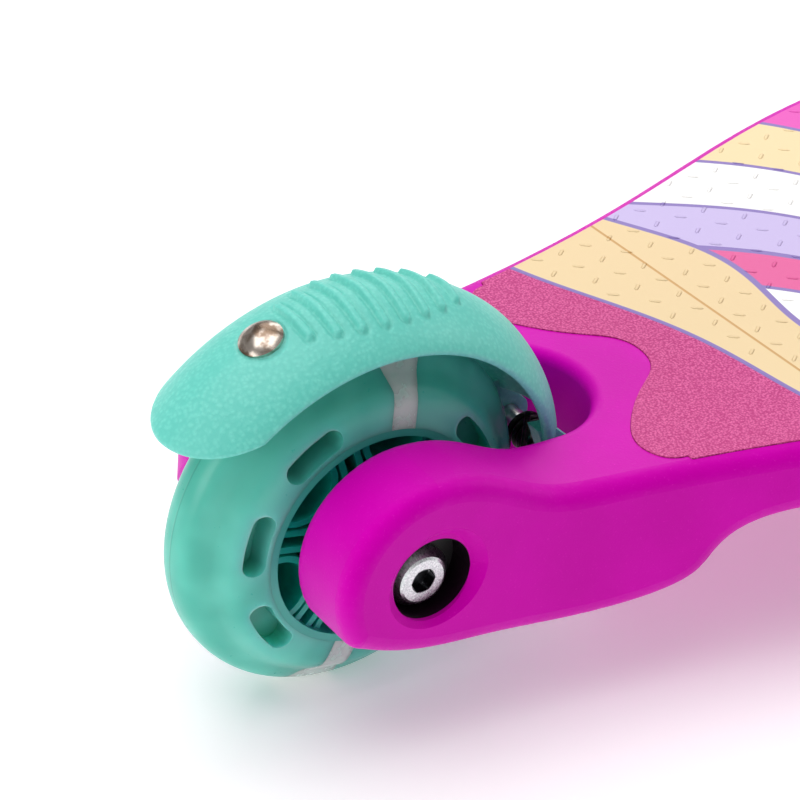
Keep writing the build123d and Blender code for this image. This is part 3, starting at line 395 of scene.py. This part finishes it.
def build_guard(finish):
    """The shell as one closed mesh: an outer skin, an inner skin and a rounded rim."""
    rim = guard_wall / 2
    arch_length = 2 * guard_half + 2 * hem_run
    shares = rounded_shares(arch_length, rim, across_spacing)
    tail_shares = [share for share in rounded_shares(tail_run, rim, tail_spacing)
                   if share < tail_join]
    tail_angles = [tail_angle(share) for share in shares]
    ribbed_rows = round((ribbed_to - ribbed_from) / ribbed_step)
    front_arc = math.radians(shell_end - ribbed_to) * guard_crown
    front_shares = rounded_shares(front_arc, rim, front_spacing)[close_points + 1:]
    rows = []
    for share in tail_shares:
        rows.append([tail + (ribbed_from - tail) * share for tail in tail_angles])
    for row in range(ribbed_rows + 1):
        rows.append([ribbed_from + row * ribbed_step] * len(shares))
    for share in front_shares:
        rows.append([ribbed_to + (shell_end - ribbed_to) * share] * len(shares))

    middle = []
    for angles in rows:
        line = []
        cached = {}
        for angle, share in zip(angles, shares):
            key = round(angle, 4)
            if key not in cached:
                cached[key] = guard_section(angle)
            across, outward = along(cached[key], share)
            turn = math.radians(angle)
            line.append(Vector((-outward * math.cos(turn), across, outward * math.sin(turn))))
        middle.append(line)

    row_count, column_count = len(middle), len(shares)
    outer, inner = [], []
    for row in range(row_count):
        for column in range(column_count):
            here = middle[row][column]
            before = middle[max(0, row - 1)][column]
            after = middle[min(row_count - 1, row + 1)][column]
            right = middle[row][max(0, column - 1)]
            left = middle[row][min(column_count - 1, column + 1)]
            normal = (after - before).cross(left - right).normalized()
            if normal.dot(here) < 0:
                normal = -normal
            to_side = min(shares[column], 1 - shares[column]) * arch_length
            to_tail = (here - middle[0][column]).length
            to_front = (here - middle[-1][column]).length
            half = shell_thickness(min(to_side, to_tail, to_front))
            angle = math.degrees(math.atan2(here.z, -here.x))
            inland = half > 0.8 * rim
            relief = guard_relief(angle, here.y) if inland else 0.0
            outer.append(by_axle(*(here + normal * (half + relief))))
            inner.append(by_axle(*(here - normal * half)))
    points = outer + inner
    shift = len(outer)
    faces = []
    for row in range(row_count - 1):
        for column in range(column_count - 1):
            corner = row * column_count + column
            quad = (corner, corner + 1, corner + column_count + 1, corner + column_count)
            faces.append(quad)
            faces.append(tuple(shift + index for index in reversed(quad)))
    piece = mesh_piece("guard_shell", points, faces, "brake", finish)
    joined = bmesh.new()
    joined.from_mesh(piece.data)
    bmesh.ops.remove_doubles(joined, verts=joined.verts, dist=weld_distance)
    bmesh.ops.recalc_face_normals(joined, faces=joined.faces)
    joined.to_mesh(piece.data)
    joined.free()
    piece.data.polygons.foreach_set("use_smooth", [True] * len(piece.data.polygons))
    return piece


mint = Finish("mint_polypropylene", Specular_IOR_Level=0.5, Subsurface_Weight=0.12,
              Subsurface_Scale=0.004, Subsurface_Radius=(0.4, 1.0, 0.9))
pebbles = mint.add("TexVoronoi", {"feature": "SMOOTH_F1"},
                   {"Vector": mint.place(), "Scale": 1.05, "Smoothness": 0.55, "Randomness": 1.0})
fine_grain = mint.cloud(0.35, detail=3)
broad = mint.cloud(14, detail=3)
leather = (1 - pebbles) * 0.75 + fine_grain * 0.45
mint_base = mint.mix(broad.step(0.35, 0.7), paint("7ADDCF"), paint("84E3D5"))
mint_colour = mint.mix(leather.step(0.45, 0.95) * 0.6, paint("66CFC1"), mint_base)
mint.feed(Base_Color=mint_colour, Roughness=0.30 + fine_grain * 0.22,
          Normal=mint.bump(leather, 0.14, 0.8))
guard_shell = build_guard(mint)
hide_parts("brake_guard")


def hinge_ear(side):
    """Ear that takes the pin: a round boss with a tapered neck up to the shell."""
    boss_radius, bore_radius = 5.0, 2.56
    boss_from, boss_to = 8.2, 12.0
    first_angle, swept_angle = -208, 236
    neck_front, neck_back = (44.0, 11.4), (39.6, 11.9)
    round_steps = 40
    outline = []
    for step in range(round_steps + 1):
        turn = math.radians(first_angle + swept_angle * step / round_steps)
        outline.append((hinge_x + boss_radius * math.cos(turn),
                        hinge_z + boss_radius * math.sin(turn)))
    outline += [neck_front, neck_back]
    bore = []
    for step in range(round_steps + 3):
        turn = math.radians(first_angle + 360 * step / (round_steps + 3))
        bore.append((hinge_x + bore_radius * math.cos(turn),
                     hinge_z + bore_radius * math.sin(turn)))
    count = len(outline)
    points = []
    for across in (boss_from, boss_to):
        for ring in (outline, bore):
            points += [by_axle(x, side * across, z) for x, z in ring]
    faces = []
    for number in range(count):
        after = (number + 1) % count
        near_out, near_in = number, count + number
        far_out, far_in = 2 * count + number, 3 * count + number
        faces.append((near_out, after, count + after, near_in))
        faces.append((far_in, 3 * count + after, 2 * count + after, far_out))
        faces.append((near_out, far_out, 2 * count + after, after))
        faces.append((near_in, count + after, 3 * count + after, far_in))
    name = "guard_ear_left" if side > 0 else "guard_ear_right"
    return mesh_piece(name, points, faces, "brake", mint, smooth=False)


for side in (-1, 1):
    ear = hinge_ear(side)
    ear_bevel = ear.modifiers.new("soft_edges", "BEVEL")
    ear_bevel.width = 0.0003
    ear_bevel.segments = 2
    ear_bevel.limit_method = "ANGLE"


# ---------------------------------------------------------------------------
# Brake set: a hardened steel plate riveted under the mudguard, its polished
# rivet, and the black torsion spring that lifts the mudguard off the tyre,
# wound round a plated pin.
# ---------------------------------------------------------------------------
def plated(name, colour, roughness, brushed=(1, 1, 1), depth=0.004):
    """Zinc-plated steel with drawn marks, stretched as brushed says."""
    steel = Finish(name, Metallic=1.0)
    marks = steel.cloud(0.5, detail=4, stretch=brushed)
    stains = steel.cloud(3.0, detail=3)
    tone = steel.mix(stains.step(0.4, 0.72), paint(colour), paint("8F8A84"))
    steel.feed(Base_Color=steel.mix(marks * 0.25, tone, paint("F4F4F2")),
               Roughness=roughness + marks * 0.16 + stains * 0.05,
               Normal=steel.bump(marks, depth, 0.6))
    return steel


plated("brake_steel", "D5D2CC", 0.22, (1, 5, 1)).dress("brake_plate")
plated("plated_steel", "D9D9D7", 0.20).dress("brake_pivot_pin", "rear_spacer")

spring_black = Finish("oiled_spring_wire", Metallic=0.85)
wire_marks = spring_black.cloud(0.4, detail=4)
wire_tone = spring_black.mix(wire_marks.step(0.3, 0.8), paint("141414"), paint("34322F"))
spring_black.feed(Base_Color=wire_tone, Roughness=0.28 + wire_marks * 0.2,
                  Normal=spring_black.bump(wire_marks, 0.01, 0.5))
spring_black.dress("brake_spring")

rivet = Finish("polished_rivet", Metallic=1.0)
rivet_reflection_blotches = rivet.cloud(3.2, detail=3, roughness=0.5)
rivet_scratch = rivet.cloud(0.3, detail=5, stretch=(1, 0.25, 1))
# Painted reflection: brown blotches on the polished dome; the same noise also varies the roughness.
rivet_tone = rivet.mix(rivet_reflection_blotches.step(0.42, 0.62), paint("CFC3B8"), paint("85705F"))
rivet.feed(Base_Color=rivet_tone, Roughness=0.12 + rivet_reflection_blotches * 0.16 + rivet_scratch * 0.08,
           Normal=rivet.bump(rivet_scratch, 0.004, 0.4))
rivet.dress("brake_rivet")

# ---------------------------------------------------------------------------
# Wheels: a stiff moulded core with a ball bearing in each side, and cast round
# it a tyre of translucent polyurethane with two clear windows. Behind each
# window sits a light that a magnet on the axle drives.
# ---------------------------------------------------------------------------
core_rim = 1.7
wheels = {"rear_wheel": rear_axle}
for name in ("left_wheel", "right_wheel"):
    low, high = (Vector(corner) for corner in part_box(name + "_tyre"))
    wheels[name] = (low + high) / 2

for wheel_name, middle in wheels.items():
    tyre = Finish(wheel_name + "_urethane", Subsurface_Weight=0.6, Subsurface_Scale=0.012,
                  Subsurface_Radius=(0.4, 1.0, 0.88), Specular_IOR_Level=0.5)
    swirl = tyre.cloud(15.0, detail=2, roughness=0.45)
    skin = tyre.cloud(1.3, detail=3)
    tone = tyre.mix(swirl.step(0.36, 0.66), paint("48B9A7"), paint("62CDBB"))
    _, tread_y, _ = tyre.parts(tyre.place())
    parting_line = abs(tread_y - middle.y * 1000).step(0.32, 0.1)
    tyre.feed(Base_Color=tyre.mix(parting_line * 0.4, tone, paint("2C8F7F")),
              Roughness=0.22 + skin * 0.2, Normal=tyre.bump(skin + parting_line * 1.5, 0.04, 0.5))
    tyre.dress(wheel_name + "_tyre")

    core = Finish(wheel_name + "_core_moulding", Subsurface_Weight=0.25, Subsurface_Scale=0.004,
                  Subsurface_Radius=(0.3, 1.0, 0.85))
    core_low, core_high = (Vector(corner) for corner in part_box(wheel_name + "_core"))
    rim_inside = (core_high.z - core_low.z) * 1000 / 2 - core_rim
    core_x, _, core_z = core.parts(core.place())
    core_reach = ((core_x - middle.x * 1000) ** 2 + (core_z - middle.z * 1000) ** 2) ** 0.5
    flow = core.cloud(5.0, detail=3)
    core_tone = core.mix(flow.step(0.3, 0.75), paint("00A08E"), paint("14B8A4"))
    core.feed(Base_Color=core.mix(core_reach.step(rim_inside - 0.3, rim_inside + 0.3), core_tone,
                                  paint("45B5A3")),
              Roughness=0.24 + flow * 0.2, Normal=core.bump(core.cloud(0.8, detail=3), 0.03, 0.4))
    core.dress(wheel_name + "_core")

    clear = Finish(wheel_name + "_clear_urethane", Transmission_Weight=0.25, IOR=1.42,
                   Subsurface_Weight=0.6, Subsurface_Scale=0.006,
                   Subsurface_Radius=(1.0, 1.0, 1.0))
    haze = clear.cloud(2.5, detail=4)
    clear.feed(Base_Color=clear.mix(haze.step(0.4, 0.8), paint("E4F7EF"), paint("C4E8DB")),
               Roughness=0.16 + haze * 0.2, Normal=clear.bump(haze, 0.06, 0.4))
    clear.dress(wheel_name + "_windows")

    light = Finish(wheel_name + "_light_unit", Metallic=0.7)
    solder = light.add("TexVoronoi", {}, {"Vector": light.place(), "Scale": 1.1}, take="Color")
    solder_x, solder_y, _ = light.parts(solder)
    light_tone = light.mix(solder_x.step(0.45, 0.55), paint("0E0E10"), paint("F2F2F0"))
    light.feed(Base_Color=light_tone, Roughness=0.12 + solder_y * 0.3,
               Normal=light.bump(solder_x, 0.3, 0.8))
    light.dress(wheel_name + "_lights")

    bearing = Finish(wheel_name + "_bearing_steel", Metallic=1.0)
    turned = bearing.cloud(0.35, detail=4)
    bearing.feed(Base_Color=bearing.mix(turned, paint("B9B9B8"), paint("E0E0DE")),
                 Roughness=0.2 + turned * 0.15, Normal=bearing.bump(turned, 0.004, 0.5))
    bearing.dress(wheel_name + "_bearing_left", wheel_name + "_bearing_right")

# ---------------------------------------------------------------------------
# Deck: the board and its rear fork are one moulding in magenta polypropylene,
# with a fine spark-eroded skin. The head and bar joint share the colour. The
# walls of the two round recesses for the rear axle's heads are painted near-black: painted shade.
# ---------------------------------------------------------------------------
recess_rise, recess_reach, recess_shade_end = 2.2, 9.1, 33.4
recess_middle_z = rear_axle.z * 1000 + recess_rise
magenta = Finish("magenta_moulding", Specular_IOR_Level=0.28,
                 Specular_Tint=paint("FF18D8"))
skin_fine = magenta.cloud(0.45, detail=3)
skin_broad = magenta.cloud(22, detail=3)
magenta_tone = magenta.mix(skin_broad.step(0.3, 0.7), paint("D000AE"), paint("D800B6"))
magenta_tone = magenta.mix(skin_fine.step(0.6, 0.8) * 0.5, magenta_tone, paint("EE30CE"))
spot_x, spot_y, spot_z = magenta.parts(magenta.place())
from_axle_line = ((spot_x - rear_axle.x * 1000) ** 2 + (spot_z - recess_middle_z) ** 2) ** 0.5
# Painted shade: inside each axle recess, short of the given end across, the magenta is painted
# near-black.
recess_painted_shade = from_axle_line.step(recess_reach + 0.15, recess_reach + 0.05)
recess_painted_shade = recess_painted_shade * abs(spot_y).step(recess_shade_end + 0.1, recess_shade_end)
magenta.feed(Base_Color=magenta.mix(recess_painted_shade, magenta_tone, paint("0B0A0C")),
             Roughness=0.34 + skin_fine * 0.24,
             Normal=magenta.bump(skin_fine, 0.06, 0.6))
magenta.dress("deck", "head_housing", "bar_joint")

# ---------------------------------------------------------------------------
# Grip mat: a thin sheet let into the board. Its ends are sand-textured pink,
# and between them runs a printed pattern of wide ribbons, cream, lavender,
# white and hot pink with purple outlines, with raised lozenges for grip.
# ---------------------------------------------------------------------------
cream_start, cream_slope, cream_wave = 91.3, 0.354, 2.2
wave_offset, wave_length = 19, 13
pinstripe_start, pinstripe_slope = 97.2, 0.075
print_start, print_slope, print_wave, print_end = 112, 0.25, 4.5, 372
ribbon_slope, ribbon_wave, ribbon_repeat = 0.85, 9, 128


def cream_line(place, wave):
    """How far ahead of the axle the cream begins, from a place across and its wave there."""
    return cream_start - cream_slope * place + cream_wave * wave


mat = Finish("printed_mat")
along_x, across_y, _ = mat.parts(mat.place())
ahead = along_x - rear_axle.x * 1000
wave_place = across_y + wave_offset
cream_edge = ahead - cream_line(wave_place, (wave_place / wave_length).sine())
print_line = print_start - print_slope * across_y + print_wave * ((across_y - 4) / 12).sine()
print_edge = ahead - print_line
ribbon_sway = ribbon_wave * ((ahead - 0.6 * across_y) / 26).sine()
ribbon_run = ahead + ribbon_slope * across_y + ribbon_sway
ribbon_place = (ribbon_run / ribbon_repeat).maths("FRACT")
outline_colour = paint("8C77BE")
ribbon_stops = []
for start, colour in ((0.00, "CDBDEB"), (0.17, "FFFDFB"), (0.36, "F9DFAE"), (0.56, "EE4FC0"),
                      (0.74, "FFFDFB"), (0.86, "E85A9E")):
    ribbon_stops.append((start, outline_colour))
    ribbon_stops.append((start + 0.012, paint(colour)))
ribbons = mat.add("ValToRGB", {"stops": ribbon_stops}, {"Fac": ribbon_place})
ribbons.socket.node.color_ramp.interpolation = "CONSTANT"
ribbon_grain = mat.cloud(0.8, detail=3)
pinstripe_off = abs(ahead - (pinstripe_start - pinstripe_slope * across_y))
sand = mat.cloud(0.42, detail=4, roughness=0.7)
sand_cells = mat.add("TexVoronoi", {}, {"Vector": mat.place(), "Scale": 1.9})
sand_height = sand * 0.6 + (1 - sand_cells) * 0.5
front_edge = print_end - ahead
pink_sand = mat.mix(sand_height.step(0.42, 0.78), paint("C22E7E"), paint("EE6CAC"))
cream = mat.mix(pinstripe_off.step(0.45, 0.2), paint("F0D4A4"), paint("D2A05C"))
printed = mat.mix(print_edge.step(-0.2, 0.2), cream, ribbons)
printed = mat.mix(abs(print_edge).step(0.9, 0.7), printed, outline_colour)
back_part = mat.mix(cream_edge.step(-0.2, 0.2), pink_sand, printed)
back_part = mat.mix(abs(cream_edge).step(0.75, 0.55), back_part, outline_colour)
whole_print = mat.mix(front_edge.step(-0.2, 0.2), pink_sand, back_part)
whole_print = mat.mix(abs(front_edge).step(0.8, 0.6), whole_print, outline_colour)
sanded = 1 - cream_edge.step(-0.3, 0.3) * front_edge.step(-0.3, 0.3)
mat.feed(Base_Color=whole_print, Roughness=0.42 + sanded * 0.16 + ribbon_grain * 0.12,
         Normal=mat.bump(sand_height * sanded + ribbon_grain * (1 - sanded) * 0.12, 0.28, 0.8))
mat.dress("deck_mat")

mat_low, mat_high = (Vector(corner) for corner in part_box("deck_mat"))
mat_shape = bmesh.new()
mat_shape.from_mesh(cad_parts["deck_mat"].data)
mat_tree = BVHTree.FromBMesh(mat_shape)
mat_shape.free()
lozenge_pitch, lozenge_slant = 6.4, 38
lozenge_long, lozenge_wide, lozenge_high = 1.6, 0.6, 0.14
lozenge_shoulder, lozenge_ridge, lozenge_root = 0.55, 0.62, 0.05
lozenge_margin = 3.2


def on_mat(x, y):
    """Whether the mat's top lies under a point."""
    start = Vector((x, y, mat_high.z + 0.01))
    hit = mat_tree.ray_cast(start, Vector((0, 0, -1)), 0.012)
    return hit[0] is not None and abs(hit[0].z - mat_high.z) < 1e-4


lozenge_points, lozenge_faces = [], []
rows_along = int((mat_high.x - mat_low.x) * 1000 / lozenge_pitch)
rows_across = int((mat_high.y - mat_low.y) * 1000 / lozenge_pitch)
for row in range(rows_along):
    for column in range(rows_across):
        x = mat_low.x * 1000 + (row + 0.5) * lozenge_pitch
        y = mat_low.y * 1000 + (column + 0.5) * lozenge_pitch
        from_axle = x - rear_axle.x * 1000
        edge = cream_line(y + wave_offset, math.sin((y + wave_offset) / wave_length))
        if not edge + lozenge_margin <= from_axle <= print_end - lozenge_margin:
            continue
        slant = math.radians(lozenge_slant if (row + column) % 2 else -lozenge_slant)
        long_way = Vector((math.cos(slant), math.sin(slant), 0)) * lozenge_long
        wide_way = Vector((-math.sin(slant), math.cos(slant), 0)) * lozenge_wide
        middle = Vector((x, y, mat_high.z * 1000))
        shoulder = long_way * lozenge_shoulder
        rim = [middle + long_way, middle + shoulder + wide_way, middle - shoulder + wide_way,
               middle - long_way, middle - shoulder - wide_way, middle + shoulder - wide_way]
        if not all(on_mat(corner.x / 1000, corner.y / 1000) for corner in rim):
            continue
        first = len(lozenge_points)
        up = Vector((0, 0, lozenge_high))
        root = Vector((0, 0, -lozenge_root))
        ridge = [middle + long_way * lozenge_ridge + up, middle - long_way * lozenge_ridge + up]
        lozenge_points += [(corner + root) / 1000 for corner in rim]
        lozenge_points += [corner / 1000 for corner in ridge]
        front, back = first + 6, first + 7
        lozenge_faces += [
            (first, first + 1, front), (first + 1, first + 2, back, front),
            (first + 2, first + 3, back), (first + 3, first + 4, back),
            (first + 4, first + 5, front, back), (first + 5, first, front),
            tuple(first + number for number in range(5, -1, -1))]
mesh_piece("mat_lozenges", lozenge_points, lozenge_faces, "deck", mat)

# ---------------------------------------------------------------------------
# Rear axle: a bolt and sleeve nut with low domed heads, bright zinc, seated in
# the fork's round recesses on black bushes that run through to the bearings.
# ---------------------------------------------------------------------------
bolt = Finish("axle_bolt_zinc", Metallic=1.0)
bolt_x, _, bolt_z = bolt.parts(bolt.place())
from_middle = ((bolt_x - rear_axle.x * 1000) ** 2 + (bolt_z - rear_axle.z * 1000) ** 2) ** 0.5
bolt_marks = bolt.cloud(0.35, detail=5, stretch=(1, 0.3, 1))
facing_rings = (from_middle * 9 + bolt_marks * 3).sine() * 0.5 + 0.5
bolt_tone = bolt.mix(bolt_marks.step(0.3, 0.75), paint("BFC3C6"), paint("F3F5F6"))
# Painted shade: within 2.6 mm of the axle, in the hex socket, the colour is painted dark grey.
bolt.feed(Base_Color=bolt.mix(from_middle.step(2.9, 2.6), bolt_tone, paint("4A4C50")),
          Roughness=0.2 + bolt_marks * 0.2,
          Normal=bolt.bump(facing_rings * 0.3 + bolt_marks, 0.005, 0.5))
bolt.dress("rear_axle_bolt", "rear_axle_sleeve")


def moulded(name, dark, pale, roughness, grain=0.5, depth=0.03):
    """A moulded plastic or rubber with an even grain and faint tone."""
    plastic = Finish(name)
    texture = plastic.cloud(grain, detail=3)
    tone = plastic.cloud(18, detail=3)
    base = plastic.mix(tone.step(0.3, 0.7), paint(dark), paint(pale))
    plastic.feed(Base_Color=plastic.mix(texture.step(0.55, 0.85) * 0.4, base, paint(pale)),
                 Roughness=roughness + texture * 0.18,
                 Normal=plastic.bump(texture, depth, 0.6))
    return plastic


black = moulded("black_nylon", "151516", "232325", 0.38)
black.dress("rear_bush_left", "rear_bush_right")

# ---------------------------------------------------------------------------
# Truck under the head: a glass-filled nylon beam on the lean bolt, sprung by
# two elastomer pads, with a steering knuckle on a kingpin at each end and a
# tie rod behind that joins the knuckles.
# ---------------------------------------------------------------------------
black.dress("truck_beam", "knuckle_left", "knuckle_right", "tie_rod")
moulded("return_elastomer", "1C1C20", "2E2E33", 0.55, grain=1.2, depth=0.05).dress(
    "return_pad_left", "return_pad_right")
plated("front_zinc", "D2D3D4", 0.2, (1, 1, 4)).dress(
    "kingpin_left", "kingpin_right", "front_bolt_left", "front_bolt_right", "lean_bolt", "lean_nut",
    "drive_pin", "head_screw_left", "head_screw_right", "clamp_bolt", "clamp_nut")

# ---------------------------------------------------------------------------
# Stem: a satin-anodised tube that snaps into the head's socket behind a mint
# button, a black split clamp with a cast lever, and the brighter bar tube that
# slides in it.
# ---------------------------------------------------------------------------
def drawn_tube(name, dark, pale, roughness):
    """Anodised tube with the fine lines of drawing along it."""
    tube = Finish(name, Metallic=1.0)
    lines = tube.cloud(0.5, detail=4, stretch=(1, 1, 0.03))
    handled = tube.cloud(16, detail=4)
    tube.feed(Base_Color=tube.mix(lines * 0.6 + handled * 0.4, paint(dark), paint(pale)),
              Roughness=roughness + lines * 0.12 + handled * 0.08,
              Normal=tube.bump(lines, 0.006, 0.5))
    return tube


drawn_tube("satin_stem", "B9BCC2", "DDDFE3", 0.3).dress("stem_tube", "handlebar")
drawn_tube("bright_bar", "C9CCD1", "F0F1F3", 0.14).dress("bar_tube")
black.dress("clamp_collar")
lever = Finish("tumbled_lever", Metallic=1.0)
tumble = lever.cloud(0.7, detail=4)
lever.feed(Base_Color=lever.mix(tumble.step(0.3, 0.75), paint("8C8E92"), paint("C3C5C9")),
           Roughness=0.34 + tumble * 0.2, Normal=lever.bump(tumble, 0.03, 0.6))
lever.dress("clamp_lever")
moulded("mint_button", "5CCBB4", "7EDFCB", 0.36).dress("stem_button")

# ---------------------------------------------------------------------------
# Grips: ribbed sleeves of soft mint rubber with a flange at each end, pushed
# onto the handlebar.
# ---------------------------------------------------------------------------
grips = moulded("mint_rubber", "56C4AD", "7ADAC6", 0.5, grain=0.7, depth=0.06)
grips.dress("grip_left", "grip_right")
